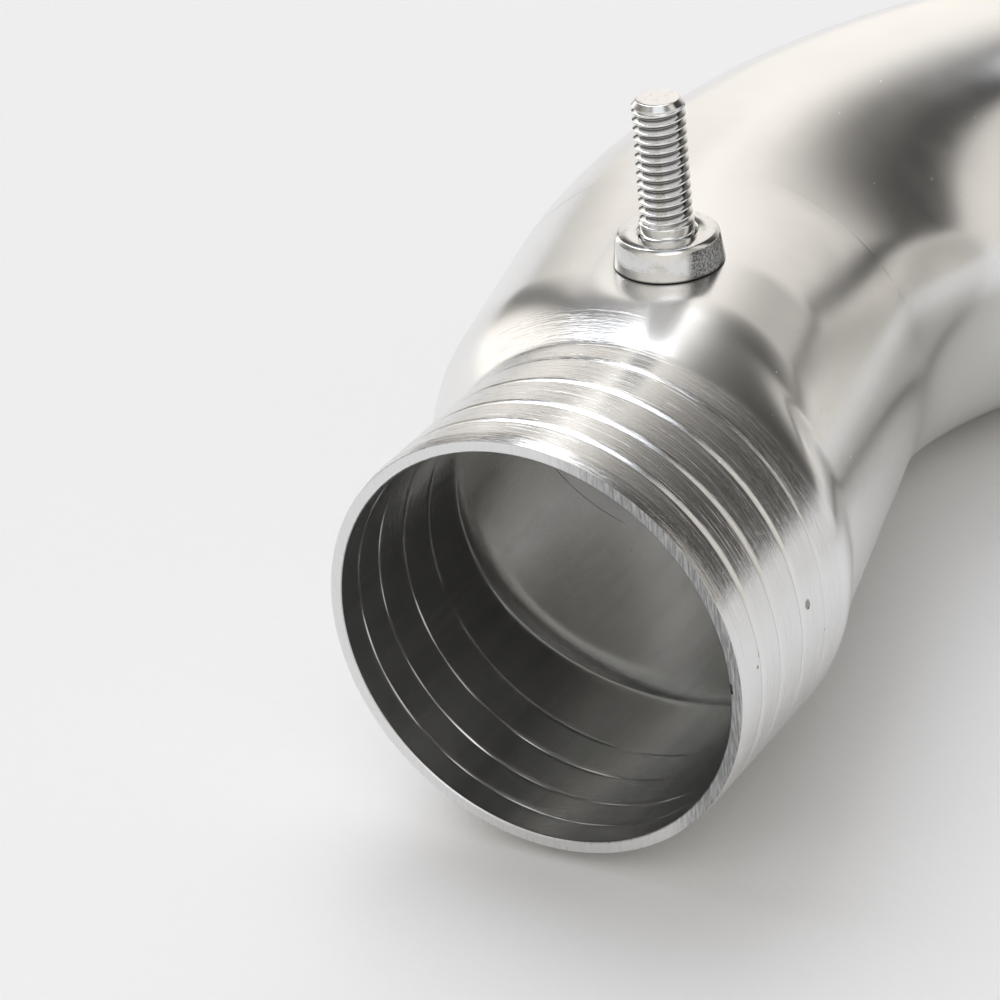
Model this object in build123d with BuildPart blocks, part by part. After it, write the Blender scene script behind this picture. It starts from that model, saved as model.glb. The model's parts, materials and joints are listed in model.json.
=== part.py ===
from build123d import *
import os
from math import cos, radians, sin, sqrt, tan

# Cold air intake pipe, in millimetres. The origin is the centre of the inlet mouth, +Y runs into the
# pipe along the neck, the pipe bends towards +X and the mounting stud points up, along +Z.

# Tube stock
body_od = 69.85
wall = 2.0

# Neck: the reduced end that a hose slides over
neck_od = 66.2
neck_length = 30.7
rim_lead_length = 1.2
rim_lead_drop = 0.3

# Rolled rings round the neck: scored in outside, standing proud inside
ring_stations = (6.1, 11.8, 18.8, 25.8)
ring_depths = (0.3, 0.3, 0.3, 0.18)
ring_width = 0.9

# Shoulder: where the neck swells into the body, which leans away from the bend
shoulder_length = 18.5
shoulder_bend_side_length = 6.0
shoulder_sections = 16
shoulder_inside_lag = 0.8
body_lean = 13.3
axis_crossing = 17.0

# Weld seam, bend and outlet
seam_distance = 70.6
bend_radius = 88.9
bend_angle = 90.0
outlet_length = 45.0
outlet_edge_chamfer = 0.3

# Boss: a turned collar on a narrower root, set on the bend's side of the body's crown
stud_along = 38.9
stud_aside = 4.4
boss_height = 4.4
boss_foot_sink = 0.4
boss_foot_od = 16.5
boss_top_od = 15.7
boss_root_od = 14.0
boss_edge_chamfer = 0.5
boss_mouth_chamfer = 0.45
braze_gap = 0.1

# Stud: a 5/16 in thread over a plain shank that is driven into the boss
stud_od = 7.85
stud_reach = 20.9
stud_end_chamfer = 0.8
shank_od = 8.2
shank_reach = 1.7
shank_clearance = 0.05
stud_seat_gap = 0.15

# Sizes that follow
body_r = body_od / 2
neck_r = neck_od / 2
lean = radians(body_lean)
shoulder_end = neck_length + shoulder_length
cut_overrun = wall

# The body's axis leaves the neck's axis at the crossing and leans towards -X. Its own right-hand side,
# seen from above, is the inside of the bend.
crossing = Vector(0, axis_crossing, 0)
body_dir = Vector(-sin(lean), cos(lean), 0)
bend_side = Vector(cos(lean), sin(lean), 0)
seam_plane = Plane(crossing + body_dir * seam_distance, x_dir=bend_side, z_dir=body_dir)

# The bend turns about an upright axis, and the outlet leaves it in line with its far end.
bend_centre = seam_plane.origin + bend_side * bend_radius
bend_axis = Axis(bend_centre, (0, 0, -1))
outlet_turn = radians(bend_angle) - lean
outlet_dir = Vector(sin(outlet_turn), cos(outlet_turn), 0)
outlet_side = Vector(cos(outlet_turn), -sin(outlet_turn), 0)
outlet_plane = Plane(bend_centre - outlet_side * bend_radius, x_dir=outlet_side, z_dir=outlet_dir)

# The stud stands upright on the body, and its boss tops out above the body's crown.
stud_foot = crossing + body_dir * stud_along + bend_side * stud_aside
stud_plane = Plane(stud_foot, x_dir=(1, 0, 0), z_dir=(0, -1, 0))
boss_foot = body_r - boss_foot_sink
boss_top = body_r + boss_height
stud_top = boss_top + stud_reach
stud_bottom = body_r + stud_seat_gap


def smooth_step(share):
    """Eases from 0 to 1 with no slope at either end."""
    return share * share * (3 - 2 * share)


def shoulder_form(inset, lag, overrun):
    """The solid form from the mouth to the seam, inset from the outside surface."""
    small_r = neck_r - inset
    large_r = body_r - inset
    first = neck_length + lag
    last = shoulder_end + lag
    with BuildPart() as form:
        # The straight body, cut off square to the neck's axis
        with BuildSketch(seam_plane.offset(overrun)):
            Circle(large_r)
        extrude(amount=-seam_distance - overrun)
        split(bisect_by=Plane.XZ.offset(-last), keep=Keep.BOTTOM)
        # The swelling: steep at the neck, rounding over into the body's slanting section, and soon over
        # on the bend's side, where the body's flank runs straight on to the neck
        for step in range(shoulder_sections):
            share = step / (shoulder_sections - 1)
            rise = (last - first) * share**1.5
            ease = smooth_step(share**0.75)
            ease_bend_side = smooth_step(min(1, rise / shoulder_bend_side_length))
            drift = (first + rise - axis_crossing) * tan(lean)
            far_edge = small_r + ease * (large_r / cos(lean) + drift - small_r)
            bend_edge = small_r + ease_bend_side * (large_r / cos(lean) - drift - small_r)
            half_height = small_r + ease * (large_r - small_r)
            with BuildSketch(Plane.XZ.offset(-first - rise)):
                with Locations(((bend_edge - far_edge) / 2, 0)):
                    Ellipse((bend_edge + far_edge) / 2, half_height)
        loft()
        # The neck, out to the mouth
        with BuildSketch(Plane.XZ.offset(-first)):
            Circle(small_r)
        extrude(amount=first + overrun)
    return form.part


def ring_sections(surface_r):
    """Each ring's V section, pressed inwards from a surface of the neck."""
    with BuildSketch(Plane.XY) as sections:
        for station, depth in zip(ring_stations, ring_depths):
            with BuildLine():
                Polyline(
                    (surface_r, station - ring_width / 2),
                    (surface_r - depth, station),
                    (surface_r, station + ring_width / 2),
                    close=True,
                )
            make_face()
    return sections.sketch


# Inlet section: neck, shoulder and straight body in one formed tube
with BuildPart() as inlet_section:
    add(shoulder_form(0, 0, 0))
    add(shoulder_form(wall, shoulder_inside_lag, cut_overrun), mode=Mode.SUBTRACT)
    # Rolled rings: the metal goes in outside and comes out inside
    revolve(ring_sections(neck_r), axis=Axis.Y, mode=Mode.SUBTRACT)
    revolve(ring_sections(neck_r - wall), axis=Axis.Y)
    # The rim's outer edge, eased to lead a hose on
    rim = inlet_section.faces().sort_by(Axis.Y)[0]
    chamfer(rim.outer_wire().edges(), rim_lead_drop, rim_lead_length, reference=rim)
inlet_section.part.label = "inlet_section"

# Outlet section: the bend and a plain straight end, welded to the inlet section face to face
with BuildPart() as outlet_section:
    with BuildSketch(seam_plane):
        Circle(body_r)
        Circle(body_r - wall, mode=Mode.SUBTRACT)
    revolve(axis=bend_axis, revolution_arc=bend_angle)
    with BuildSketch(outlet_plane):
        Circle(body_r)
        Circle(body_r - wall, mode=Mode.SUBTRACT)
    extrude(amount=outlet_length)
    open_end = outlet_section.faces().sort_by(Axis(outlet_plane.origin, outlet_dir))[-1]
    chamfer(open_end.outer_wire().edges(), outlet_edge_chamfer)
outlet_section.part.label = "outlet_section"

# Stud boss: a turned collar with a flat foot, on a root that is saddle-cut to sit on the round body
boss_root = sqrt(body_r**2 - (stud_aside + boss_root_od / 2) ** 2) - wall
boss_hole_r = shank_od / 2 + shank_clearance
with BuildPart() as stud_boss:
    with BuildSketch(stud_plane):
        with BuildLine():
            Polyline(
                (boss_hole_r, boss_root),
                (boss_root_od / 2, boss_root),
                (boss_root_od / 2, boss_foot),
                (boss_foot_od / 2, boss_foot),
                (boss_top_od / 2, boss_top - boss_edge_chamfer),
                (boss_top_od / 2 - boss_edge_chamfer, boss_top),
                (boss_hole_r + boss_mouth_chamfer, boss_top),
                (boss_hole_r, boss_top - boss_mouth_chamfer),
                close=True,
            )
        make_face()
    revolve(axis=Axis(stud_foot, (0, 0, 1)))
    with BuildSketch(seam_plane):
        Circle(body_r + braze_gap)
    extrude(amount=-seam_distance, mode=Mode.SUBTRACT)
stud_boss.part.label = "stud_boss"

# Mounting stud: its shank goes down into the boss, and its free end is chamfered
shank_top = boss_top + shank_reach
with BuildPart() as mounting_stud:
    with BuildSketch(Plane.XY.offset(stud_bottom)):
        with Locations((stud_foot.X, stud_foot.Y)):
            Circle(shank_od / 2)
    extrude(amount=shank_top - stud_bottom)
    with BuildSketch(Plane.XY.offset(shank_top)):
        with Locations((stud_foot.X, stud_foot.Y)):
            Circle(stud_od / 2)
    extrude(amount=stud_top - shank_top)
    stud_end = mounting_stud.faces().sort_by(Axis.Z)[-1]
    chamfer(stud_end.edges(), stud_end_chamfer)
mounting_stud.part.label = "mounting_stud"

os.makedirs("parts", exist_ok=True)
export_step(inlet_section.part, "parts/inlet_section.step")
export_step(outlet_section.part, "parts/outlet_section.step")
export_step(stud_boss.part, "parts/stud_boss.step")
export_step(mounting_stud.part, "parts/mounting_stud.step")
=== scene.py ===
import json
from math import ceil, cos, exp, log, pi, radians, sin, sqrt, tan

import bpy
from bpy.props import FloatProperty, FloatVectorProperty, IntProperty, PointerProperty
from mathutils import Matrix, Vector


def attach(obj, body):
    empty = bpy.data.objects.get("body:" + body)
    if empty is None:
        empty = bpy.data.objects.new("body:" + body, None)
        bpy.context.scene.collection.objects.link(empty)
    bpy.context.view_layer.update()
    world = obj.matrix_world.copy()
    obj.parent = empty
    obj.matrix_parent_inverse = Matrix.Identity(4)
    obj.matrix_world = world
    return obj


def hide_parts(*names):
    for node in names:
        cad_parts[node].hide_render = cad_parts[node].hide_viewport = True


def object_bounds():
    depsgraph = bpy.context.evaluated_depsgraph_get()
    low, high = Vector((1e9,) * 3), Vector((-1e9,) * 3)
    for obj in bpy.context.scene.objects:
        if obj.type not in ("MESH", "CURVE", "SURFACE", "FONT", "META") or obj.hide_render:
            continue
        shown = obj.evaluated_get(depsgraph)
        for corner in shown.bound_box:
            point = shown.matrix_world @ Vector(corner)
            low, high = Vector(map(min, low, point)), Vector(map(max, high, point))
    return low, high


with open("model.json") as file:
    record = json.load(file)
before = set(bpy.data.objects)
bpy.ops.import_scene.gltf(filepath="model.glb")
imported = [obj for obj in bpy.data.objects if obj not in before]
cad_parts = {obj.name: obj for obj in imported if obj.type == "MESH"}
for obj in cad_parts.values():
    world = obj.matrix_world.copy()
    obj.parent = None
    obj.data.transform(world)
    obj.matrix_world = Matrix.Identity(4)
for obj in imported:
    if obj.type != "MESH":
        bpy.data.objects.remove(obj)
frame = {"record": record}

bl_info = {
    "name": "Cold Air Intake Pipe",
    "version": (1, 0, 0),
    "blender": (4, 5, 0),
    "location": "View3D > Sidebar > Intake Pipe",
    "description": "Dresses the packed intake pipe: polished tubes, collar, threaded stud and a plain studio",
    "category": "Object",
}

MM = 0.001
# Edges that turn by more than this stay sharp
CRISP = radians(38)
# The swelling beside the collar: where round the body it is highest, and how far round it reaches
SWELL_TURN = radians(60)
SWELL_SPREAD = radians(18)
# The inside edge's late start: where round the tube it is latest, and how far round it reaches
LOW_TURN = radians(275)
LOW_SPREAD = radians(62)
# Rolled rings: distance from the mouth, and share of the full depth
RINGS = ((5.75 * MM, 1.0), (11.45 * MM, 1.0), (18.45 * MM, 1.0), (25.6 * MM, 0.45))
# Nicks on the rim's inner edge: places in metres, then full and faded radius
NICKS = ((0.0311, 0, 0.0014), (0.0311, 0, 0.0009), (0.0312, 0, 0.0004))
NICK_RADII = (0.28 * MM, 0.45 * MM)
# Pits on the neck's flank: place in metres, full radius and faded radius
PITS = (
    ((0.0329, 0.0208, 0.0032), 0.35 * MM, 0.9 * MM),
    ((0.0329, 0.0057, 0.0036), 0.16 * MM, 0.4 * MM),
    ((0.0329, 0.0058, 0.0042), 0.16 * MM, 0.4 * MM),
    ((0.0330, 0.0048, 0.0021), 0.12 * MM, 0.3 * MM),
    ((0.0329, 0.0257, -0.0037), 0.12 * MM, 0.3 * MM),
)
# Rows of points along the tubes: the longest steps, then counts
PLAIN_STEP = 0.7 * MM
CREASE_STEP = 0.19 * MM
SHOULDER_STEP = 0.5 * MM
RIDGE_ROWS = 5
FLANK_ROWS = 12
BODY_ROWS = 28
BEND_ROWS = 160
# Faces round the collar, and points round and along the stud
COLLAR_COLUMNS = 128
STUD_GRID = (97, 620)
CAD_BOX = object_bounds()
MOUNTS = {mount["name"]: mount for mount in frame["record"]["mounts"]}
NECK_OD = 2 * MOUNTS["inlet_neck"]["dims"]["r_mm"]
THREAD_OD = 2 * MOUNTS["stud"]["dims"]["r_mm"]


def length(name, description, default_mm):
    """A length property, given in millimetres and kept in metres."""
    default = default_mm * MM
    return FloatProperty(name=name, description=description, default=default, unit="LENGTH", precision=5)


def colour(name, description, default):
    """A colour property in linear values."""
    return FloatVectorProperty(
        name=name, description=description, default=default, size=3, min=0, max=1, subtype="COLOR"
    )


class TubeSizes(bpy.types.PropertyGroup):
    """Sizes of the two tube sections"""

    body_od: length("Body diameter", "Outside diameter of the body and the bend", 69.85)
    neck_od: length("Neck diameter", "Outside diameter of the hose neck", NECK_OD)
    wall: length("Wall", "Thickness of the tube's wall", 2.0)
    neck_length: length("Neck length", "From the mouth to the shoulder", 30.7)
    rim_lead: length("Rim lead", "Length of the eased outer edge at the mouth", 2.0)
    rim_drop: length("Rim drop", "How far the eased edge falls below the neck", 0.3)
    ring_drop: length("Ring drop", "Width of a rolled ring's short side, towards the mouth", 0.14)
    ring_flank: length("Ring flank", "Width of a rolled ring's long side", 1.35)
    ring_depth: length("Ring depth", "Depth of a rolled ring", 0.34)
    shoulder_length: length("Shoulder length", "From the neck to the full body", 18.5)
    bend_side_length: length("Bend side length", "Length of the shoulder on the bend's side", 11.0)
    inside_lag: length("Inside lag", "How much later the shoulder starts inside", 0.8)
    inside_delay: length("Inside delay", "How much later still the inside's edge starts on the far side", 2.0)
    low_delay: length("Low delay", "Further delay of the inside's edge along the bottom", 6.5)
    ridge_side: length("Ridge side", "Width of each side of a rolled ring's ridge inside", 0.3)
    ridge_height: length("Ridge height", "Height of a rolled ring's ridge inside", 0.2)
    ridge_shift: length("Ridge shift", "How much nearer to the mouth the ridges stand inside", 0.9)
    crease_ease: length("Crease ease", "Rounding of the crease between neck and shoulder", 0.5)
    body_lean: FloatProperty(
        name="Body lean", description="Angle between neck and body", default=radians(13.3), unit="ROTATION"
    )
    axis_crossing: length("Axis crossing", "Where the body's axis leaves the neck's axis", 17.0)
    seam_distance: length("Seam distance", "From the axis crossing to the weld seam", 70.6)
    swell_height: length("Swell height", "Extra swelling beside the collar, on the bend's side", 2.3)
    swell_run: length("Swell run", "Length over which the swelling rises from the neck", 16.0)
    swell_end: length("Swell end", "From the axis crossing to where the swelling starts to fall", 40.0)
    swell_fade: length("Swell fade", "Length over which the swelling eases out at the seam", 4.0)
    bend_radius: length("Bend radius", "Radius of the bend's middle line", 88.9)
    outlet_length: length("Outlet length", "Straight length after the bend", 45.0)
    outlet_ease: length("Outlet ease", "Chamfer on the open end", 0.32)
    columns: IntProperty(name="Columns", description="Faces around each tube", default=256)


class StudSizes(bpy.types.PropertyGroup):
    """Sizes of the collar and the stud"""

    along: length("Along the body", "From the axis crossing to the stud", 38.9)
    aside: length("Aside of the crown", "From the body's crown to the stud, towards the bend", 4.4)
    collar_height: length("Collar height", "Top of the collar above the crown", 4.4)
    foot_sink: length("Foot sink", "The collar's foot below the crown", 0.4)
    foot_od: length("Foot diameter", "Diameter of the collar's foot", 16.5)
    top_od: length("Top diameter", "Diameter of the collar's top", 15.4)
    root_od: length("Root diameter", "Diameter of the root under the collar", 14.0)
    foot_gap: length("Foot gap", "Gap between the collar's foot and the body", 0.1)
    pad_run: length("Pad run", "Length over which the flat under the collar dies out", 8.0)
    edge_ease: length("Edge ease", "Chamfer on the collar's top edge", 0.5)
    mouth_ease: length("Mouth ease", "Chamfer at the mouth of the collar's hole", 0.45)
    hole_gap: length("Hole gap", "Gap between the stud's shank and the hole", 0.05)
    thread_od: length("Thread diameter", "Outside diameter of the thread", THREAD_OD)
    thread_pitch: length("Thread pitch", "Distance between neighbouring crests", 25.4 / 18)
    thread_depth: length("Thread depth", "From crest to root", 0.78)
    shank_od: length("Shank diameter", "Diameter of the plain shank", 8.2)
    shank_reach: length("Shank reach", "Plain shank above the collar", 1.7)
    reach: length("Stud reach", "Top of the stud above the collar", 20.9)
    end_ease: length("End ease", "Chamfer on the stud's free end", 0.8)
    seat_gap: length("Seat gap", "Gap under the stud", 0.15)


class FinishColours(bpy.types.PropertyGroup):
    """Colours of the metals and the floor"""

    polished: colour("Polished tube", "Outside of the tubes", (0.86, 0.855, 0.845))
    inside: colour("Tube inside", "Unpolished inside of the tubes", (0.63, 0.63, 0.62))
    cut: colour("Cut edge", "Sawn rim of the tubes", (0.84, 0.84, 0.84))
    collar: colour("Collar", "Turned collar", (0.76, 0.76, 0.755))
    steel: colour("Stud", "Plated stud", (0.80, 0.80, 0.795))
    dust: colour("Dust", "Dust specks on the tubes", (0.93, 0.93, 0.92))
    # Also the colour of painted shade along the rings and in the thread's grooves, of the painted shadow at
    # the collar's foot and of the painted dark reflection on the collar's flank
    grime_and_shade: colour("Grime", "Pits, grooves and the seam's hairline", (0.16, 0.155, 0.15))
    floor: colour("Floor", "Pale floor", (0.86, 0.86, 0.86))


class IntakePipe(bpy.types.PropertyGroup):
    """All the settings of the intake pipe"""

    tube: PointerProperty(type=TubeSizes)
    stud: PointerProperty(type=StudSizes)
    colours: PointerProperty(type=FinishColours)


# Shared geometry


def smooth_step(share):
    """Eases from 0 to 1 with no slope at either end."""
    share = min(1, max(0, share))
    return share * share * (3 - 2 * share)


def soft_rise(distance, ease):
    """Distance past a crease, rounded off over a short length."""
    if distance > 12 * ease:
        return distance
    return ease * log(1 + exp(distance / ease))


def body_axes(tube):
    """The body's crossing, direction, bend side and seam centre."""
    lean = tube.body_lean
    crossing = Vector((0, tube.axis_crossing, 0))
    along = Vector((-sin(lean), cos(lean), 0))
    bend_side = Vector((cos(lean), sin(lean), 0))
    return crossing, along, bend_side, crossing + along * tube.seam_distance


def stud_centre(tube, stud):
    """Where the stud's axis crosses the pipe's middle plane."""
    crossing, along, bend_side, seam = body_axes(tube)
    return crossing + along * stud.along + bend_side * stud.aside


def round_angles(count):
    """Evenly spaced angles round a circle."""
    return [2 * pi * j / count for j in range(count)]


def section_at(tube, y, inset, lag):
    """Middle, half width and half height of the inlet tube's section at a distance from the mouth."""
    small = tube.neck_od / 2 - inset
    large = tube.body_od / 2 - inset
    lean = tube.body_lean
    rise = soft_rise(y - tube.neck_length - lag, tube.crease_ease)
    run = min(tube.shoulder_length, tube.shoulder_length + tube.inside_lag - lag)
    ease = smooth_step(sqrt(min(1, rise / run)))
    ease_bend_side = smooth_step(rise / tube.bend_side_length)
    drift = (tube.neck_length + lag + rise - tube.axis_crossing) * tan(lean)
    far_edge = small + ease * (large / cos(lean) + drift - small)
    bend_edge = small + ease_bend_side * (large / cos(lean) - drift - small)
    return (bend_edge - far_edge) / 2, (bend_edge + far_edge) / 2, small + ease * (large - small)


def past_seam(distance, fade):
    """Distance from the seam, eased in over a short length."""
    return sqrt(max(0, distance) ** 2 + fade**2) - fade


def swelling(tube, point, t):
    """How far the body stands out beside the collar: it rises from the neck and dies out at the seam."""
    crossing, along, bend_side, seam = body_axes(tube)
    off = (t - SWELL_TURN + pi) % (2 * pi) - pi
    fall = past_seam(tube.seam_distance - (point - crossing).dot(along), tube.swell_fade)
    fall /= past_seam(tube.seam_distance - tube.swell_end, tube.swell_fade)
    rise = smooth_step((point.y - tube.neck_length) / tube.swell_run)
    return tube.swell_height * exp(-((off / SWELL_SPREAD) ** 2)) * min(1, max(0, fall)) * rise


def seated(tube, stud, point):
    """A point of the body's outside, pressed flat under and around the collar's foot."""
    centre = stud_centre(tube, stud)
    apart = Vector((point.x - centre.x, point.y - centre.y)).length
    share = 1 - smooth_step((apart - stud.foot_od / 2) / stud.pad_run)
    level = tube.body_od / 2 - stud.foot_sink - stud.foot_gap
    return Vector((point.x, point.y, point.z + share * min(0, level - point.z)))


def even_steps(start, end, longest):
    """Evenly spaced values after start, up to end."""
    count = ceil((end - start) / longest)
    return [start + (end - start) * step / count for step in range(1, count + 1)]


def ring_dip(tube, y, depths):
    """How far the rolled rings press the outside in: a short drop, then a long flank that flattens out."""
    dip = 0
    for station, depth in depths:
        past = y - station
        if past < 0:
            dip += depth * max(0, 1 + past / tube.ring_drop)
        else:
            dip += depth * max(0, 1 - past / tube.ring_flank) ** 2
    return dip


def ridge_rise(tube, y, depths):
    """How far the rolled rings stand out inside, as rounded ridges."""
    rise = 0
    for station, height in depths:
        rise += height * cos(min(1, abs(y - station) / tube.ridge_side) * pi / 2) ** 2
    return rise


def closed_shell(name, rows, slots, materials):
    """A mesh from closed rows of points, joined end to end, one material slot per row."""
    columns = len(rows[0])
    vertices = [point for row in rows for point in row]
    faces = []
    face_slots = []
    for i, slot in enumerate(slots):
        here = i * columns
        after = (i + 1) % len(rows) * columns
        for j in range(columns):
            beside = (j + 1) % columns
            faces.append((here + j, here + beside, after + beside, after + j))
        face_slots += [slot] * columns
    mesh = bpy.data.meshes.new(name)
    mesh.from_pydata(vertices, [], faces)
    for material in materials:
        mesh.materials.append(material)
    mesh.polygons.foreach_set("material_index", face_slots)
    mesh.polygons.foreach_set("use_smooth", [True] * len(faces))
    mesh.set_sharp_from_angle(angle=CRISP)
    mesh.validate()
    mesh.update()
    return mesh


def add_object(name, mesh):
    """Links a new object at the origin."""
    piece = bpy.data.objects.new(name, mesh)
    bpy.context.scene.collection.objects.link(piece)
    return piece


def settle(piece, node):
    """Rides a finished piece on the part and lets it stand for its CAD node."""
    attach(piece, "root")
    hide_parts(node)


# Node trees and materials


class Nodes:
    """A node tree, built a node at a time."""

    def __init__(self, tree):
        self.tree = tree

    def add(self, kind, inputs=None, **settings):
        """Adds a node, sets it up, and links or sets its inputs."""
        node = self.tree.nodes.new(kind)
        for key, value in settings.items():
            setattr(node, key, value)
        for key, value in (inputs or {}).items():
            self.feed(node.inputs[key], value)
        return node

    def feed(self, socket, value):
        """Links an output to a socket, or sets the socket."""
        if isinstance(value, bpy.types.NodeSocket):
            self.tree.links.new(value, socket)
        else:
            socket.default_value = value

    def maths(self, operation, first, second=0.0, third=0.0):
        """One step of arithmetic."""
        return self.add("ShaderNodeMath", {0: first, 1: second, 2: third}, operation=operation).outputs[0]

    def vector(self, operation, first, second):
        """One step of vector arithmetic."""
        return self.add("ShaderNodeVectorMath", {0: first, 1: second}, operation=operation).outputs

    def spread(self, value, low, high, to_low=0.0, to_high=1.0, kind="SMOOTHSTEP"):
        """Maps a range onto another, clamped."""
        inputs = {"Value": value, "From Min": low, "From Max": high, "To Min": to_low, "To Max": to_high}
        return self.add("ShaderNodeMapRange", inputs, interpolation_type=kind).outputs["Result"]


class Finish(Nodes):
    """A material for one surface."""

    def __init__(self, name):
        self.material = bpy.data.materials.new(name)
        self.material.use_nodes = True
        super().__init__(self.material.node_tree)
        self.shader = self.tree.nodes["Principled BSDF"]
        self.shader.inputs["Metallic"].default_value = 1.0
        self.coordinates = self.add("ShaderNodeTexCoord").outputs["Object"]

    def turned(self, scale, turn=(0, 0, 0), place=(0, 0, 0)):
        """Object coordinates, scaled and turned."""
        inputs = {"Vector": self.coordinates, "Location": place, "Rotation": turn, "Scale": scale}
        return self.add("ShaderNodeMapping", inputs).outputs["Vector"]

    def noise(self, vector, detail, roughness):
        """Cloudy noise from 0 to 1."""
        inputs = {"Vector": vector, "Scale": 1.0, "Detail": detail, "Roughness": roughness}
        return self.add("ShaderNodeTexNoise", inputs).outputs["Fac"]

    def along(self, direction, start=0.0):
        """Distance along a direction, from a start."""
        return self.maths("SUBTRACT", self.vector("DOT_PRODUCT", self.coordinates, direction)["Value"], start)

    def spot(self, place, inner, outer):
        """1 within a small round spot, fading out at its edge."""
        apart = self.vector("DISTANCE", self.coordinates, place)["Value"]
        return self.spread(apart, inner, outer, 1.0, 0.0)

    def specks(self, scale, inner, outer):
        """Sparse specks, one to a cell."""
        inputs = {"Vector": self.coordinates, "Scale": scale, "Randomness": 1.0}
        apart = self.add("ShaderNodeTexVoronoi", inputs).outputs["Distance"]
        return self.spread(apart, inner, outer, 1.0, 0.0)

    def times(self, *shares):
        """Product of several shares."""
        product = shares[0]
        for share in shares[1:]:
            product = self.maths("MULTIPLY", product, share)
        return product

    def bend_to(self, share, first, second):
        """Mixes two numbers."""
        inputs = {"Factor": share, "A": first, "B": second}
        return self.add("ShaderNodeMix", inputs, data_type="FLOAT").outputs["Result"]

    def bump(self, height, distance, strength=1.0, normal=None):
        """Turns a height into a normal."""
        inputs = {"Height": height, "Distance": distance, "Strength": strength}
        if normal is not None:
            inputs["Normal"] = normal
        return self.add("ShaderNodeBump", inputs).outputs["Normal"]

    def blend(self, share, first, second):
        """Mixes two colours."""
        inputs = {"Factor": share, "A": first, "B": second}
        return self.add("ShaderNodeMix", inputs, data_type="RGBA").outputs["Result"]

    def finish(self, **sockets):
        """Feeds the shader and gives the material."""
        for key, value in sockets.items():
            self.feed(self.shader.inputs[key.replace("_", " ")], value)
        return self.material


def shade(rgb, factor):
    """A colour made lighter or darker, with an alpha."""
    return (*(min(1, value * factor) for value in rgb), 1)


def tube_outside(tube, colours, name, has_neck):
    """Bright outside of a tube: polished, with dust, and on the inlet a brushed neck."""
    coat = Finish(name)
    sway = coat.noise(coat.turned((24, 24, 24)), 1.5, 0.5)
    cloud = coat.noise(coat.turned((55, 55, 55)), 3, 0.6)
    grain = coat.noise(coat.turned((2400, 2400, 2400)), 2, 0.5)
    dust = coat.specks(210, 0.028, 0.045)
    roughness = coat.spread(cloud, 0.3, 0.7, 0.17, 0.23)
    normal = coat.bump(sway, 0.8 * MM, 0.2)
    normal = coat.bump(grain, 0.003 * MM, 0.4, normal)
    stain = coat.spread(cloud, 0.35, 0.75, 0.0, 0.15)
    tint = coat.blend(stain, shade(colours.polished, 1), shade(colours.polished, 0.9))
    if has_neck:
        tint, roughness, normal = brushed_neck(coat, tube, colours, tint, roughness, normal)
    tint = coat.blend(dust, tint, shade(colours.dust, 1))
    roughness = coat.bend_to(dust, roughness, 0.6)
    return coat.finish(Base_Color=tint, Roughness=roughness, Normal=normal)


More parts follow.
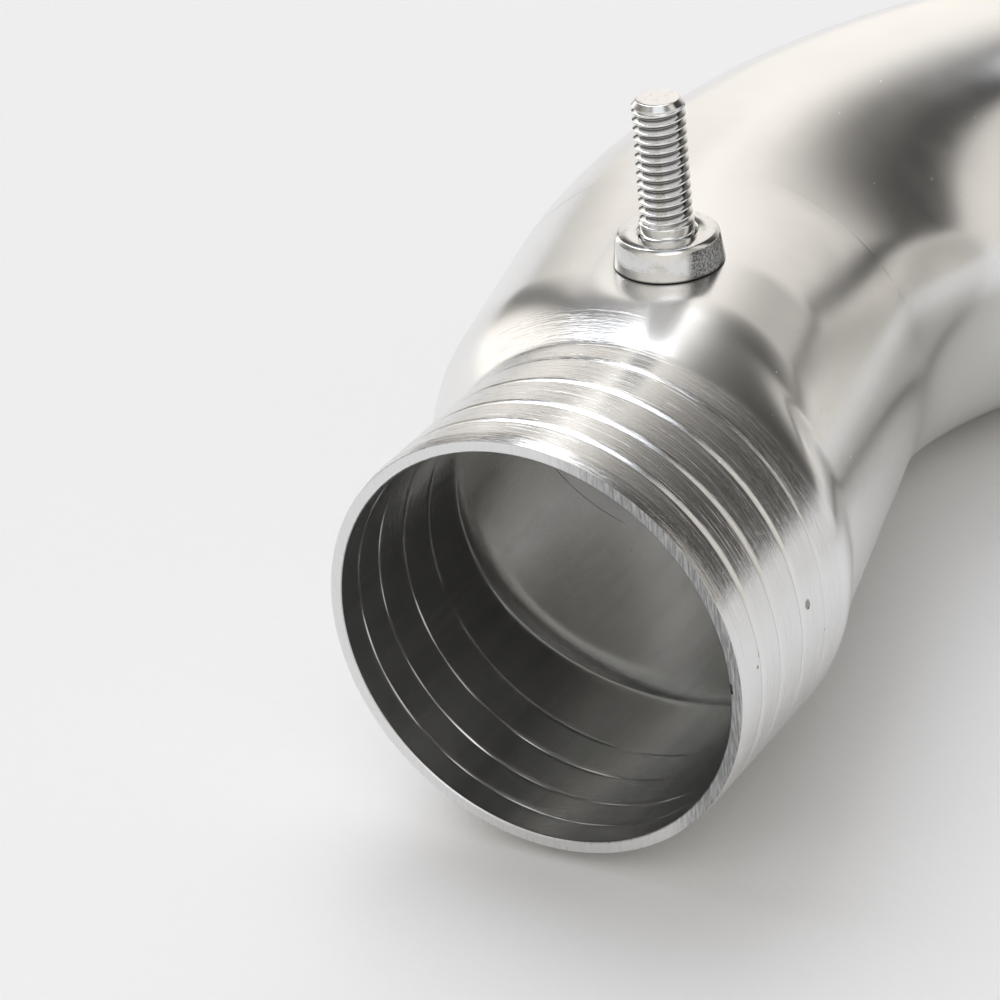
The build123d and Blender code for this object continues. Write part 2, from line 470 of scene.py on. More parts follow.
def brushed_neck(coat, tube, colours, tint, roughness, normal):
    """Brush strokes round the neck and down the shoulder, haze, pits, painted shade and dirt along the rolled
    rings, and the seam's hairline.
    """
    y = coat.along((0, 1, 0))
    neck = coat.spread(y, tube.neck_length + 1.2 * MM, tube.neck_length - 0.4 * MM)
    far_side = coat.spread(coat.along((1, 0, 0)), 4 * MM, -4 * MM)
    slope = coat.times(coat.spread(y, tube.neck_length + 11 * MM, tube.neck_length + 4 * MM), far_side)
    brushed = coat.maths("MAXIMUM", neck, slope)
    # Long strokes, short flecks and a few deep scores run round the neck
    strokes = coat.noise(coat.turned((70, 2600, 70)), 3, 0.6)
    flecks = coat.noise(coat.turned((450, 5200, 450), place=(2, 5, 1)), 2, 0.6)
    scores = coat.spread(coat.noise(coat.turned((45, 2200, 45), place=(3, 0, 1)), 2, 0.5), 0.62, 0.70)
    patchy = coat.noise(coat.turned((70, 130, 70), place=(4, 1, 2)), 2, 0.5)
    patchy = coat.spread(patchy, 0.35, 0.65, 0.15, 1.0)
    height = coat.maths("MULTIPLY_ADD", strokes, 0.3, coat.maths("MULTIPLY", flecks, 0.3))
    height = coat.maths("ADD", height, coat.times(scores, patchy, 0.3))
    normal = coat.bump(coat.times(height, brushed), 0.12 * MM, 0.7, normal)
    roughness = coat.bend_to(neck, roughness, coat.spread(strokes, 0.35, 0.75, 0.16, 0.3))
    tint = coat.blend(coat.times(neck, 0.8), tint, shade(colours.polished, 0.95))
    # The brazing heat left a haze round the collar's foot
    foot = (*MOUNTS["stud"]["pos_m"][:2], tube.body_od / 2)
    haze = coat.times(coat.spot(foot, 9.5 * MM, 18 * MM), 0.6)
    roughness = coat.bend_to(haze, roughness, 0.34)
    # Pits in the neck's flank
    pits = 0.0
    for pit in PITS:
        pits = coat.maths("MAXIMUM", coat.spot(*pit), pits)
    normal = coat.bump(coat.maths("SUBTRACT", 1.0, pits), 0.3 * MM, 0.8, normal)
    # The weld seam, ground flush, shows as a broken hairline on the bend's side
    crossing, along, bend_side, seam = body_axes(tube)
    past = coat.along(along, seam.dot(along))
    height = coat.along((0, 0, 1))
    line = coat.times(
        coat.spread(past, -0.3 * MM, -0.12 * MM),
        coat.spread(height, 9 * MM, 12 * MM),
        coat.spread(height, 26 * MM, 23 * MM),
        coat.spread(coat.along(bend_side), 18 * MM, 20 * MM),
        coat.spread(coat.noise(coat.turned((300, 300, 300)), 2, 0.5), 0.4, 0.5),
    )
    marks = coat.maths("MAXIMUM", coat.times(pits, 0.75), coat.times(line, 0.7))
    # Painted shade and dirt: a thin dark line along the lip of each rolled ring
    for station, share in RINGS:
        off = coat.maths("ABSOLUTE", coat.along((0, 1, 0), station - tube.ring_drop - 0.08 * MM))
        groove_shade_and_dirt = coat.spread(off, 0.06 * MM, 0.2 * MM, 0.3 * share, 0.0)
        marks = coat.maths("MAXIMUM", marks, groove_shade_and_dirt)
    return coat.blend(marks, tint, shade(colours.grime_and_shade, 1)), roughness, normal


def tube_inside(colours, name):
    """Duller inside of a tube, as drawn, with small pits."""
    coat = Finish(name)
    cloud = coat.noise(coat.turned((60, 60, 60)), 4, 0.6)
    drawn = coat.noise(coat.turned((500, 30, 500)), 3, 0.6)
    tint = coat.blend(cloud, shade(colours.inside, 0.88), shade(colours.inside, 1.1))
    tint = coat.blend(coat.times(coat.specks(120, 0.02, 0.04), 0.6), tint, shade(colours.grime_and_shade, 1))
    roughness = coat.spread(drawn, 0.3, 0.7, 0.19, 0.25)
    normal = coat.bump(drawn, 0.005 * MM, 0.5)
    return coat.finish(Metallic=0.92, Base_Color=tint, Roughness=roughness, Normal=normal)


def cut_edge(colours, name):
    """Sawn rim: slanting saw marks and nicks on the bend's side, worn smooth on the other."""
    coat = Finish(name)
    sawn = coat.spread(coat.along((1, 0, 0.25)), 12 * MM, 24 * MM, 0.08, 1.0)
    marks = coat.noise(coat.turned((2600, 300, 240), turn=(0, radians(38), 0)), 4, 0.7)
    rough = coat.noise(coat.turned((420, 420, 420)), 4, 0.7)
    roughness = coat.spread(marks, 0.3, 0.7, 0.25, 0.45)
    normal = coat.bump(coat.times(marks, sawn), 0.2 * MM, 0.9)
    normal = coat.bump(rough, 0.2 * MM, 0.4, normal)
    dark = coat.times(coat.spread(marks, 0.65, 0.4), sawn)
    tint = coat.blend(sawn, shade(colours.cut, 1), shade(colours.cut, 0.6))
    tint = coat.blend(dark, tint, shade(colours.cut, 0.3))
    for place in NICKS:
        tint = coat.blend(coat.spot(place, *NICK_RADII), tint, shade(colours.cut, 0.03))
    return coat.finish(Base_Color=tint, Roughness=roughness, Normal=normal)


def turned_metal(tint, name, low, high, grain_depth, grime_and_shade, foot=None, grooves=None, painted_dark_side=None):
    """Bright turned metal with fine rings and small marks, with a painted shadow at its foot, painted shade
    in its grooves and a painted dark reflection on one flank.

    The dark-side argument gives the axis, reach and top of a flank with a painted dark reflection, grooves
    the axis, root, crest and top of a thread whose grooves get painted shade.
    """
    coat = Finish(name)
    rings = coat.noise(coat.turned((90, 90, 6000)), 3, 0.6)
    marks = coat.noise(coat.turned((900, 900, 900)), 3, 0.6)
    roughness = coat.spread(marks, 0.35, 0.7, low, high)
    grain = coat.noise(coat.turned((2600, 2600, 1500)), 2, 0.6)
    normal = coat.bump(rings, 0.01 * MM, 0.5)
    normal = coat.bump(grain, grain_depth, 0.5, normal)
    worn = coat.blend(coat.spread(marks, 0.55, 0.75), shade(tint, 1), shade(tint, 0.85))
    z = coat.along((0, 0, 1))
    if foot is not None:
        # Painted shadow: the bottom of the collar darkened where it meets the body
        share = coat.spread(z, foot, foot + 0.4 * MM, 0.95, 0.0)
        worn = coat.blend(share, worn, shade(grime_and_shade, 0.5))
    # Painted dark reflection: the flank on the +X side darkened, grainy, below the top edge
    if painted_dark_side is not None:
        axis, reach, top = painted_dark_side
        fine = coat.noise(coat.turned((3600, 3600, 3600)), 2, 0.7)
        share = coat.times(
            coat.spread(coat.along((1, 0, 0), axis.x), 0.68 * reach, 0.8 * reach),
            coat.spread(fine, 0.38, 0.62, 1.0, 0.6),
            coat.spread(z, top, top - 0.3 * MM),
        )
        worn = coat.blend(share, worn, shade(grime_and_shade, 0.6))
    # Painted shade: the thread's grooves darkened towards their roots, up to the chamfered end
    if grooves is not None:
        axis, root, crest, top = grooves
        level = coat.vector("MULTIPLY", coat.coordinates, (1, 1, 0))[0]
        radius = coat.vector("DISTANCE", level, axis)["Value"]
        share = coat.spread(radius, root, crest, 0.88, 0.0)
        share = coat.times(share, coat.spread(z, top, top - 0.3 * MM))
        worn = coat.blend(share, worn, shade(grime_and_shade, 1))
    return coat.finish(Base_Color=worn, Roughness=roughness, Normal=normal)


# Operators, one for each piece


class OBJECT_OT_intake_inlet(bpy.types.Operator):
    """Builds the inlet tube: neck with rolled rings, shoulder and straight body"""

    bl_idname = "object.intake_inlet"
    bl_label = "Inlet Tube"

    def execute(self, context):
        settings = context.scene.intake_pipe
        tube = settings.tube
        materials = (
            tube_outside(tube, settings.colours, "polished_inlet", True),
            cut_edge(settings.colours, "sawn_inlet_rim"),
            tube_inside(settings.colours, "drawn_inlet_inside"),
        )
        outside = [
            [seated(tube, settings.stud, point) if point.z > 0 else point for point in row]
            for row in reversed(self.skin_rows(tube, 0))
        ]
        rim = self.rim_rows(tube)
        inside = self.skin_rows(tube, tube.wall)
        rows = outside + rim + inside
        slots = [0] * len(outside) + [1] * len(rim) + [2] * (len(inside) - 1) + [1]
        piece = add_object("inlet_tube", closed_shell("inlet_tube", rows, slots, materials))
        settle(piece, "inlet_section")
        return {"FINISHED"}

    def stations(self, tube, inset):
        """Distances from the mouth, close together at the rings and the crease, and the rings' own depths."""
        depth = tube.ridge_height if inset else tube.ring_depth
        shift = tube.ridge_shift if inset else 0
        depths = [(station - shift, share * depth) for station, share in RINGS]
        if inset:
            marks = [0.18 * MM]
            offsets = [tube.ridge_side * step / RIDGE_ROWS for step in range(-RIDGE_ROWS, RIDGE_ROWS + 1)]
        else:
            marks = [tube.rim_lead]
            offsets = [-tube.ring_drop, -tube.ring_drop / 2]
            offsets += [tube.ring_flank * step / FLANK_ROWS for step in range(FLANK_ROWS + 1)]
        for station, dip in depths:
            marks += even_steps(marks[-1], station + offsets[0], PLAIN_STEP)
            marks += [station + offset for offset in offsets[1:]]
        marks += even_steps(marks[-1], tube.neck_length - 1.5 * MM, PLAIN_STEP)
        marks += even_steps(marks[-1], tube.neck_length + 3 * MM, CREASE_STEP)
        marks += even_steps(marks[-1], tube.neck_length + tube.shoulder_length + 0.8 * MM, SHOULDER_STEP)
        return marks, depths

    def lag_at(self, tube, t):
        """How much later the shoulder starts inside, round the tube."""
        off = (t - LOW_TURN + pi) % (2 * pi) - pi
        return tube.inside_lag + tube.inside_delay + tube.low_delay * exp(-((off / LOW_SPREAD) ** 2))

    def skin_rows(self, tube, inset):
        """Rows of points from the mouth to the seam."""
        crossing, along, bend_side, seam = body_axes(tube)
        angles = round_angles(tube.columns)
        marks, depths = self.stations(tube, inset)
        up = Vector((0, 0, 1))
        rows = []
        for y in marks:
            dip = ridge_rise(tube, y, depths) if inset else ring_dip(tube, y, depths)
            row = []
            for t in angles:
                lag = self.lag_at(tube, t) if inset else 0
                middle, half_width, half_height = section_at(tube, y, inset, lag)
                # The ridges inside are worn unevenly
                worn = dip
                if inset:
                    worn *= 0.62 + 0.38 * sin(5 * t + 900 * y) * sin(11 * t + 400 * y)
                point = Vector((middle + (half_width - worn) * cos(t), y, (half_height - worn) * sin(t)))
                row.append(point + (bend_side * cos(t) + up * sin(t)) * swelling(tube, point, t))
            rows.append(row)
        large = tube.body_od / 2 - inset
        last = marks[-1]
        for step in range(1, BODY_ROWS + 1):
            share = step / BODY_ROWS
            row = []
            for t in angles:
                start = (last - tube.axis_crossing - bend_side.y * large * cos(t)) / along.y
                reach = start + (tube.seam_distance - start) * share
                out = bend_side * cos(t) + up * sin(t)
                point = crossing + along * reach + out * large
                row.append(point + out * swelling(tube, point, t))
            rows.append(row)
        return rows

    def rim_rows(self, tube):
        """Rows across the sawn rim, from outside to inside."""
        outer = tube.neck_od / 2 - tube.rim_drop
        inner = tube.neck_od / 2 - tube.wall
        profile = [(outer + 0.04 * MM, 0.08 * MM), (outer - 0.06 * MM, 0)]
        profile += [(outer + (inner - outer) * share, 0) for share in (0.3, 0.6)]
        profile += [(inner + 0.16 * MM, 0), (inner + 0.01 * MM, 0.14 * MM)]
        angles = round_angles(tube.columns)
        return [[Vector((radius * cos(t), y, radius * sin(t))) for t in angles] for radius, y in profile]


class OBJECT_OT_intake_outlet(bpy.types.Operator):
    """Sweeps the outlet tube along the bend and its straight end"""

    bl_idname = "object.intake_outlet"
    bl_label = "Outlet Tube"

    def execute(self, context):
        settings = context.scene.intake_pipe
        tube = settings.tube
        materials = (
            tube_outside(tube, settings.colours, "polished_outlet", False),
            cut_edge(settings.colours, "sawn_outlet_rim"),
            tube_inside(settings.colours, "drawn_outlet_inside"),
        )
        holder = add_object("outlet_tube_path", bpy.data.meshes.new("outlet_tube_path"))
        values = {
            "Tube Radius": tube.body_od / 2,
            "Bend Radius": tube.bend_radius,
            "Outlet Length": tube.outlet_length,
            "Chamfer": tube.outlet_ease,
            "Columns": tube.columns,
            "Seam Centre": body_axes(tube)[3],
            "Lean": tube.body_lean,
            "Material": materials[0],
        }
        add_nodes(holder, sweep_tree(values), values)
        wall = holder.modifiers.new("wall", "SOLIDIFY")
        wall.thickness = tube.wall
        wall.offset = -1
        wall.use_rim = True
        mesh = plain_mesh(holder, "outlet_tube")
        mesh.materials.clear()
        for material in materials:
            mesh.materials.append(material)
        self.true_ends(tube, mesh)
        sides = [self.side_of_wall(tube, face) for face in mesh.polygons]
        mesh.polygons.foreach_set("material_index", sides)
        mesh.set_sharp_from_angle(angle=CRISP)
        piece = add_object("outlet_tube", mesh)
        settle(piece, "outlet_section")
        return {"FINISHED"}

    def true_ends(self, tube, mesh):
        """Sets the welded end flat on the seam and draws the open end's outer edge in."""
        crossing, along, bend_side, seam = body_axes(tube)
        end = seam + (along + bend_side) * tube.bend_radius + bend_side * tube.outlet_length
        for vertex in mesh.vertices:
            past = (vertex.co - seam).dot(along)
            if abs(past) < 0.1 * MM:
                vertex.co -= along * past
            off = vertex.co - end
            at_end = abs(off.dot(bend_side)) < tube.outlet_ease / 3
            if at_end and off.length > (tube.body_od - tube.wall) / 2:
                vertex.co -= off.normalized() * tube.outlet_ease

    def side_of_wall(self, tube, face):
        """0 for the outside of the wall, 1 for a rim and 2 for the inside."""
        crossing, along, bend_side, seam = body_axes(tube)
        bend_centre = seam + bend_side * tube.bend_radius
        level = Vector((face.center.x, face.center.y, 0)) - bend_centre
        past = level.dot(bend_side)
        middle = bend_centre + level.normalized() * tube.bend_radius
        if past > 0:
            middle = bend_centre + bend_side * past + along * tube.bend_radius
        facing = face.normal.dot((face.center - middle).normalized())
        if abs(facing) < 0.5:
            return 1
        return 0 if facing > 0 else 2


class OBJECT_OT_intake_collar(bpy.types.Operator):
    """Turns the collar that carries the stud"""

    bl_idname = "object.intake_collar"
    bl_label = "Stud Collar"

    def execute(self, context):
        settings = context.scene.intake_pipe
        tube, stud, colours = settings.tube, settings.stud, settings.colours
        centre = stud_centre(tube, stud)
        body = tube.body_od / 2
        foot = body - stud.foot_sink
        top = body + stud.collar_height
        # The collar gets a painted shadow at its foot and a painted dark reflection on its +X flank
        material = turned_metal(
            colours.collar, "turned_collar", 0.08, 0.16, 0.02 * MM, colours.grime_and_shade,
            foot=foot, painted_dark_side=(centre, stud.foot_od / 2, top - stud.edge_ease),
        )
        hole = stud.shank_od / 2 + stud.hole_gap
        foot_r, top_r = stud.foot_od / 2, stud.top_od / 2
        ease = stud.edge_ease
        corner = 0.08 * MM
        root = sqrt(body**2 - (stud.aside + stud.root_od / 2) ** 2) - 0.3 * MM
        profile = [
            (hole, root),
            (stud.root_od / 2, root),
            (stud.root_od / 2, foot),
            (foot_r - corner, foot),
            (foot_r, foot + corner),
            (foot_r + (top_r - foot_r) * 0.5, (foot + top - ease) / 2),
            (top_r, top - ease - corner),
            (top_r - corner / 2, top - ease),
            (top_r - ease, top - corner / 2),
            (top_r - ease - corner, top),
            (hole + stud.mouth_ease + corner, top),
            (hole + stud.mouth_ease, top - corner / 2),
            (hole + corner / 3, top - stud.mouth_ease),
            (hole, top - stud.mouth_ease - corner),
        ]
        angles = round_angles(COLLAR_COLUMNS)
        rows = [[centre + Vector((r * cos(t), r * sin(t), z)) for t in angles] for r, z in profile]
        piece = add_object("stud_collar", closed_shell("stud_collar", rows, [0] * len(rows), (material,)))
        settle(piece, "stud_boss")
        return {"FINISHED"}


class OBJECT_OT_intake_stud(bpy.types.Operator):
    """Cuts the stud's helical thread over its plain shank"""

    bl_idname = "object.intake_stud"
    bl_label = "Threaded Stud"

    def execute(self, context):
        settings = context.scene.intake_pipe
        tube, stud, colours = settings.tube, settings.stud, settings.colours
        foot = stud_centre(tube, stud)
        bottom = tube.body_od / 2 + stud.seat_gap
        collar_top = tube.body_od / 2 + stud.collar_height
        top = collar_top + stud.reach
        crest = stud.thread_od / 2
        # The stud's thread grooves get painted shade
        material = turned_metal(
            colours.steel, "plated_stud", 0.05, 0.11, 0.008 * MM, colours.grime_and_shade,
            grooves=(foot, crest - stud.thread_depth, crest - stud.thread_depth * 0.35, top - stud.end_ease),
        )
        holder = add_object("stud_path", bpy.data.meshes.new("stud_path"))
        values = {
            "Thread Radius": crest,
            "Thread Depth": stud.thread_depth,
            "Pitch": stud.thread_pitch,
            "Shank Radius": stud.shank_od / 2,
            "Shank Length": collar_top + stud.shank_reach - bottom,
            "Stud Length": top - bottom,
            "End Chamfer": stud.end_ease,
            "Foot": Vector((foot.x, foot.y, bottom)),
            "Material": material,
        }
        add_nodes(holder, thread_tree(values), values)
        piece = add_object("threaded_stud", plain_mesh(holder, "threaded_stud"))
        settle(piece, "mounting_stud")
        return {"FINISHED"}


# Geometry node trees


class Tree(Nodes):
    """A geometry node tree with a named input for each value."""

    KINDS = {float: "Float", int: "Int", Vector: "Vector", bpy.types.Material: "Material"}

    def __init__(self, name, values):
        super().__init__(bpy.data.node_groups.new(name, "GeometryNodeTree"))
        interface = self.tree.interface
        interface.new_socket("Geometry", in_out="OUTPUT", socket_type="NodeSocketGeometry")
        for label, value in values.items():
            kind = self.KINDS[type(value)]
            interface.new_socket(label, in_out="INPUT", socket_type="NodeSocket" + kind)
        self.inputs = self.tree.nodes.new("NodeGroupInput").outputs
        self.end = self.tree.nodes.new("NodeGroupOutput").inputs

    def close(self, geometry, material):
        """Ends the tree in a realized, smooth mesh with its material."""
        real = self.add("GeometryNodeRealizeInstances", {"Geometry": geometry}).outputs[0]
        smooth = self.add("GeometryNodeSetShadeSmooth", {"Geometry": real}).outputs[0]
        dressed = self.add("GeometryNodeSetMaterial", {"Geometry": smooth, "Material": material}).outputs[0]
        self.feed(self.end[0], dressed)
        return self.tree


def sweep_tree(values):
    """A round tube swept along a quarter bend and a straight end."""
    tree = Tree("bend_sweep", values)
    sizes, maths = tree.inputs, tree.maths
    line = tree.add("GeometryNodeCurvePrimitiveLine")
    points = {"Curve": line.outputs[0], "Count": BEND_ROWS + 1}
    path = tree.add("GeometryNodeResampleCurve", points).outputs[0]
    share = tree.add("GeometryNodeSplineParameter").outputs["Factor"]
    arc = maths("MULTIPLY", sizes["Bend Radius"], pi / 2)
    # The last step is as short as the chamfer on the open end
    main_share = maths("MINIMUM", maths("MULTIPLY", share, BEND_ROWS / (BEND_ROWS - 1)), 1.0)
    last_share = maths("MAXIMUM", maths("MULTIPLY_ADD", share, BEND_ROWS, 1 - BEND_ROWS), 0.0)
    main_length = maths("SUBTRACT", maths("ADD", arc, sizes["Outlet Length"]), sizes["Chamfer"])
    last_length = maths("MULTIPLY", last_share, sizes["Chamfer"])
    travel = maths("MULTIPLY_ADD", main_share, main_length, last_length)
    turn = maths("MINIMUM", maths("DIVIDE", travel, sizes["Bend Radius"]), pi / 2)
    extra = maths("MAXIMUM", maths("SUBTRACT", travel, arc), 0.0)
    aside = maths("SUBTRACT", 1.0, maths("COSINE", turn))
    x = maths("MULTIPLY_ADD", sizes["Bend Radius"], aside, extra)
    y = maths("MULTIPLY", sizes["Bend Radius"], maths("SINE", turn))
    place = tree.add("ShaderNodeCombineXYZ", {"X": x, "Y": y}).outputs[0]
    bent = tree.add("GeometryNodeSetPosition", {"Geometry": path, "Position": place}).outputs[0]
    upright = tree.add("GeometryNodeSetCurveNormal", {"Curve": bent}).outputs[0]
    circle = {"Resolution": sizes["Columns"], "Radius": sizes["Tube Radius"]}
    ring = tree.add("GeometryNodeCurvePrimitiveCircle", circle).outputs[0]
    skin = tree.add("GeometryNodeCurveToMesh", {"Curve": upright, "Profile Curve": ring}).outputs[0]
    turned = tree.add("ShaderNodeCombineXYZ", {"Z": sizes["Lean"]}).outputs[0]
    seat = {"Geometry": skin, "Translation": sizes["Seam Centre"], "Rotation": turned}
    return tree.close(tree.add("GeometryNodeTransform", seat).outputs[0], sizes["Material"])


def thread_tree(values):
    """A round stud whose upper part carries a helical thread, closed at both ends."""
    tree = Tree("stud_thread", values)
    sizes, maths = tree.inputs, tree.maths
    # A flat sheet is rolled up, and its first and last stretch close the ends
    cap = 0.3 * MM
    points_round, points_along = STUD_GRID
    grid = {"Size X": 1.0, "Size Y": 1.0, "Vertices X": points_round, "Vertices Y": points_along}
    sheet = tree.add("GeometryNodeMeshGrid", grid).outputs["Mesh"]
    spot = tree.add("ShaderNodeSeparateXYZ", {0: tree.add("GeometryNodeInputPosition").outputs[0]}).outputs
    angle = maths("MULTIPLY", maths("ADD", spot["X"], 0.5), 2 * pi)
    whole = maths("ADD", sizes["Stud Length"], 2 * cap)
    travel = maths("SUBTRACT", maths("MULTIPLY", maths("ADD", spot["Y"], 0.5), whole), cap)
    height = maths("MINIMUM", maths("MAXIMUM", travel, 0.0), sizes["Stud Length"])
    beyond = maths("ABSOLUTE", maths("SUBTRACT", travel, height))
    left = maths("SUBTRACT", 1.0, maths("DIVIDE", beyond, cap))
    # The thread's crest climbs one pitch for each turn
    climbed = maths("DIVIDE", height, sizes["Pitch"])
    turns = maths("SUBTRACT", climbed, maths("DIVIDE", angle, 2 * pi))
    wave = maths("ABSOLUTE", maths("MULTIPLY_ADD", maths("FRACT", turns), 2.0, -1.0))
    groove = tree.spread(wave, 0.14, 0.86, 1.0, 0.0, "LINEAR")
    above = maths("SUBTRACT", height, sizes["Shank Length"])
    run_in = tree.spread(above, 0.0, 0.5 * MM)
    below = maths("SUBTRACT", sizes["Stud Length"], height)
    run_out = tree.spread(maths("DIVIDE", below, sizes["End Chamfer"]), 0.9, 1.7)
    cut = maths("MULTIPLY", groove, maths("MULTIPLY", run_in, run_out))
    depth = maths("MULTIPLY", cut, sizes["Thread Depth"])
    threaded = maths("SUBTRACT", sizes["Thread Radius"], depth)
    end_radius = maths("SUBTRACT", sizes["Thread Radius"], sizes["End Chamfer"])
    ended = maths("MINIMUM", threaded, maths("ADD", below, end_radius))
    share = tree.spread(above, -0.1 * MM, 0.1 * MM, kind="LINEAR")
    shank = maths("MULTIPLY", sizes["Shank Radius"], maths("SUBTRACT", 1.0, share))
    radius = maths("ADD", shank, maths("MULTIPLY", ended, share))
    radius = maths("MULTIPLY", radius, left)
    x = maths("MULTIPLY", radius, maths("COSINE", angle))
    y = maths("MULTIPLY", radius, maths("SINE", angle))
    place = tree.add("ShaderNodeCombineXYZ", {"X": x, "Y": y, "Z": height}).outputs[0]
    spots = {"Geometry": sheet, "Position": place, "Offset": sizes["Foot"]}
    rolled = tree.add("GeometryNodeSetPosition", spots).outputs[0]
    joined = tree.add("GeometryNodeMergeByDistance", {"Geometry": rolled, "Distance": 0.002 * MM}).outputs[0]
    return tree.close(joined, sizes["Material"])


def add_nodes(holder, group, values):
    """Puts a node tree on an object and sets its inputs by identifier."""
    modifier = holder.modifiers.new(group.name, "NODES")
    modifier.node_group = group
    for item in group.interface.items_tree:
        if item.in_out == "INPUT":
            modifier[item.identifier] = values[item.name]


def plain_mesh(holder, name):
    """The evaluated shape as a plain mesh; the holder goes."""
    bpy.context.view_layer.update()
    evaluated = holder.evaluated_get(bpy.context.evaluated_depsgraph_get())
    mesh = bpy.data.meshes.new_from_object(evaluated)
    mesh.name = name
    holder.modifiers.clear()
    bpy.data.objects.remove(holder)
    return mesh


# Stage


class SCENE_OT_intake_stage(bpy.types.Operator):
    """Sets the floor, the soft studio light and the camera"""

    bl_idname = "scene.intake_stage"
    bl_label = "Stage"

    def execute(self, context):
        colours = context.scene.intake_pipe.colours
        self.add_floor(colours)
        self.add_world(context.scene)
        self.add_camera(context.scene)
        context.scene.view_settings.view_transform = "Standard"
        return {"FINISHED"}

    def add_floor(self, colours):
        """A wide pale floor under the pipe."""
        level = CAD_BOX[0][2]
        reach = 8.0
        mesh = bpy.data.meshes.new("floor")
        corners = ((-reach, -reach), (reach, -reach), (reach, reach), (-reach, reach))
        mesh.from_pydata([(x, y, level) for x, y in corners], [], [(0, 1, 2, 3)])
        coat = Finish("pale_floor")
        grit = coat.noise(coat.turned((900, 900, 900)), 3, 0.6)
        normal = coat.bump(grit, 0.15 * MM, 0.3)
        tone = coat.blend(grit, shade(colours.floor, 0.985), shade(colours.floor, 1.01))
        mesh.materials.append(coat.finish(Metallic=0.0, Base_Color=tone, Roughness=0.55, Normal=normal))
        add_object("floor", mesh)

    def add_world(self, scene):
        """A soft studio: bright to the left and overhead, dim to the back right."""
        world = bpy.data.worlds.new("studio")
        scene.world = world
        world.use_nodes = True
        tree = world.node_tree
        tree.links.new(Sky(tree).light(), tree.nodes["Background"].inputs["Color"])

    def add_camera(self, scene):
        """The photograph's viewpoint, through a long lens."""
        data = bpy.data.cameras.new("camera")
        data.sensor_width = 36
        data.lens = 144
        camera = bpy.data.objects.new("camera", data)
        right = Vector((0.86631, 0.4919, -0.08733))
        up = Vector((-0.17027, 0.4551, 0.87401))
        back = Vector((0.46961, -0.7423, 0.47798))
        place = Vector((0.25488, -0.40708, 0.28583))
        camera.matrix_world = Matrix((
            (right.x, up.x, back.x, place.x),
            (right.y, up.y, back.y, place.y),
            (right.z, up.z, back.z, place.z),
            (0, 0, 0, 1),
        ))
        scene.collection.objects.link(camera)
        scene.camera = camera


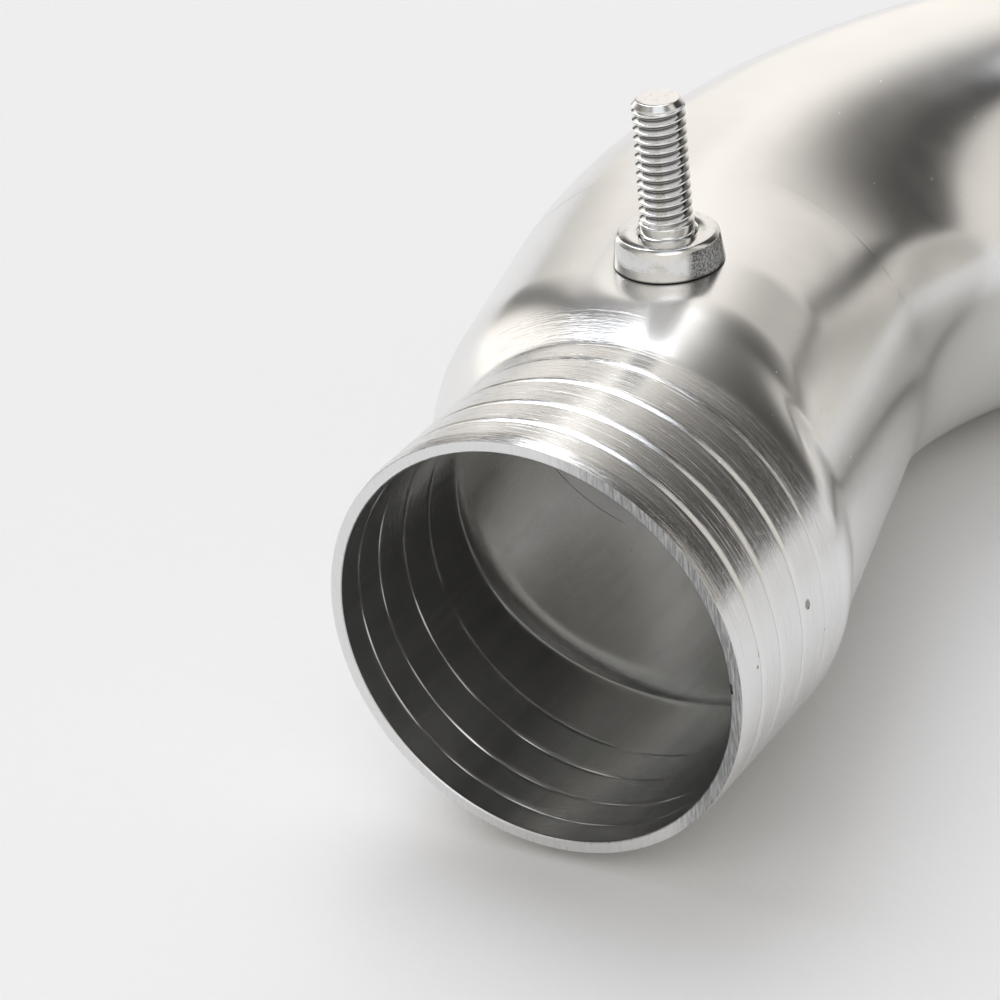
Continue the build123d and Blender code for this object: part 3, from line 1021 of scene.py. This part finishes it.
class Sky(Nodes):
    """The studio's light, as a function of direction."""

    # Brightness round the horizon: compass angle from +Y towards +X, then strength
    ROUND = (
        (-180, 0.9), (-150, 0.8), (-125, 0.45), (-100, 0.25), (-84, 0.4), (-77, 0.9), (-70, 1.4), (-62, 1.4),
        (-58, 0.95), (-54, 0.3), (-51, 0.12), (-48, 0.15), (-44, 0.7), (-39, 1.0), (-26, 1.12), (-14, 1.02),
        (-6, 0.92), (6, 0.82), (16, 0.7), (24, 0.5), (32, 0.3), (44, 0.24), (50, 0.3), (58, 0.75),
        (70, 0.85), (80, 0.5), (92, 0.5), (115, 0.7), (140, 0.9), (180, 0.9),
    )
    WARM = (1.0, 0.958, 0.9)
    COOL = (0.945, 0.98, 1.05)
    # The dark side: its edge's slope, the height at which the edge pivots and the height from which it is
    # upright; the compass angles over which the dark begins and ends; and the share of light that it takes
    SLANT = (0.8, 18, 42)
    SLANT_EDGE = (-6, 32)
    DARK_END = (46, 56)
    DARK_SHARE = 0.76
    # Soft lights and a dark spot: compass angle, height, outer and inner edge angles, strength
    LAMPS = ((-58, 60, 28, 17, 2.65), (14, 74, 17, 9, 1.6), (150, 58, 27, 12, 0.8))
    DARK_SPOT = (-40, 36, 14, 6, 0.88)
    # Heights between which the light from all round dies out, and how much of it is left
    DYING = (52, 74, 0.15)

    def __init__(self, tree):
        super().__init__(tree)
        self.direction = self.add("ShaderNodeTexCoord").outputs["Generated"]
        self.parts = self.add("ShaderNodeSeparateXYZ", {0: self.direction}).outputs

    def dimmed(self, light, kept):
        """A light of which only a share is kept."""
        return self.add("ShaderNodeVectorMath", {0: light, "Scale": kept}, operation="SCALE").outputs[0]

    def lamp(self, compass, height, outer, inner, strength):
        """A round soft light in one direction."""
        turn, lift = radians(compass), radians(height)
        aim = (sin(turn) * cos(lift), cos(turn) * cos(lift), sin(lift))
        facing = self.vector("DOT_PRODUCT", self.direction, aim)["Value"]
        return self.spread(facing, cos(radians(outer)), cos(radians(inner)), 0.0, strength)

    def light(self):
        """Light from all round, and soft lights overhead."""
        compass = self.maths("ARCTAN2", self.parts["X"], self.parts["Y"])
        share = self.maths("ADD", self.maths("DIVIDE", compass, 2 * pi), 0.5)
        ramp = self.add("ShaderNodeValToRGB", {"Fac": share})
        ramp.color_ramp.interpolation = "EASE"
        stops = ramp.color_ramp.elements
        while len(stops) < len(self.ROUND):
            stops.new(0.5)
        for stop, (angle, value) in zip(stops, self.ROUND):
            stop.position = angle / 360 + 0.5
            stop.color = (*(value * part for part in self.WARM), 1)
        round_light = self.shaded(compass, ramp.outputs["Color"])
        lamps = 0.0
        for lamp in self.LAMPS:
            lamps = self.maths("ADD", self.lamp(*lamp), lamps)
        light = self.vector("ADD", round_light, self.vector("MULTIPLY", lamps, self.COOL)[0])[0]
        return self.dimmed(light, self.maths("SUBTRACT", 1.0, self.lamp(*self.DARK_SPOT)))

    def shaded(self, compass, light):
        """The light round the horizon, with the dark side's slanting edge."""
        slope, level, upright = self.SLANT
        height = self.maths("MINIMUM", self.maths("ARCSINE", self.parts["Z"]), radians(upright))
        slanted = self.maths("MULTIPLY_ADD", self.maths("SUBTRACT", height, radians(level)), slope, compass)
        begins = self.spread(slanted, *(radians(angle) for angle in self.SLANT_EDGE))
        ends = self.spread(compass, *(radians(angle) for angle in self.DARK_END), 1.0, 0.0)
        dark = self.maths("MULTIPLY", self.maths("MULTIPLY", begins, ends), self.DARK_SHARE)
        first, last, left = self.DYING
        dying = self.spread(self.parts["Z"], sin(radians(first)), sin(radians(last)), 1.0, left)
        return self.dimmed(light, self.maths("MULTIPLY", self.maths("SUBTRACT", 1.0, dark), dying))


class VIEW3D_PT_intake_pipe(bpy.types.Panel):
    """Lists the pieces and their sizes"""

    bl_label = "Intake Pipe"
    bl_idname = "VIEW3D_PT_intake_pipe"
    bl_space_type = "VIEW_3D"
    bl_region_type = "UI"
    bl_category = "Intake Pipe"

    def draw(self, context):
        settings = context.scene.intake_pipe
        for operator in OPERATORS:
            self.layout.operator(operator.bl_idname)
        for group in (settings.tube, settings.stud, settings.colours):
            box = self.layout.box()
            for name in group.__annotations__:
                box.prop(group, name)


OPERATORS = (
    OBJECT_OT_intake_inlet,
    OBJECT_OT_intake_outlet,
    OBJECT_OT_intake_collar,
    OBJECT_OT_intake_stud,
    SCENE_OT_intake_stage,
)
CLASSES = (TubeSizes, StudSizes, FinishColours, IntakePipe) + OPERATORS + (VIEW3D_PT_intake_pipe,)


def register():
    for cls in CLASSES:
        bpy.utils.register_class(cls)
    bpy.types.Scene.intake_pipe = PointerProperty(type=IntakePipe)


def unregister():
    del bpy.types.Scene.intake_pipe
    for cls in reversed(CLASSES):
        bpy.utils.unregister_class(cls)


def main():
    """Builds every piece."""
    register()
    bpy.ops.object.intake_inlet()
    bpy.ops.object.intake_outlet()
    bpy.ops.object.intake_collar()
    bpy.ops.object.intake_stud()
    bpy.ops.scene.intake_stage()
    bpy.context.view_layer.update()


if __name__ == "__main__":
    main()
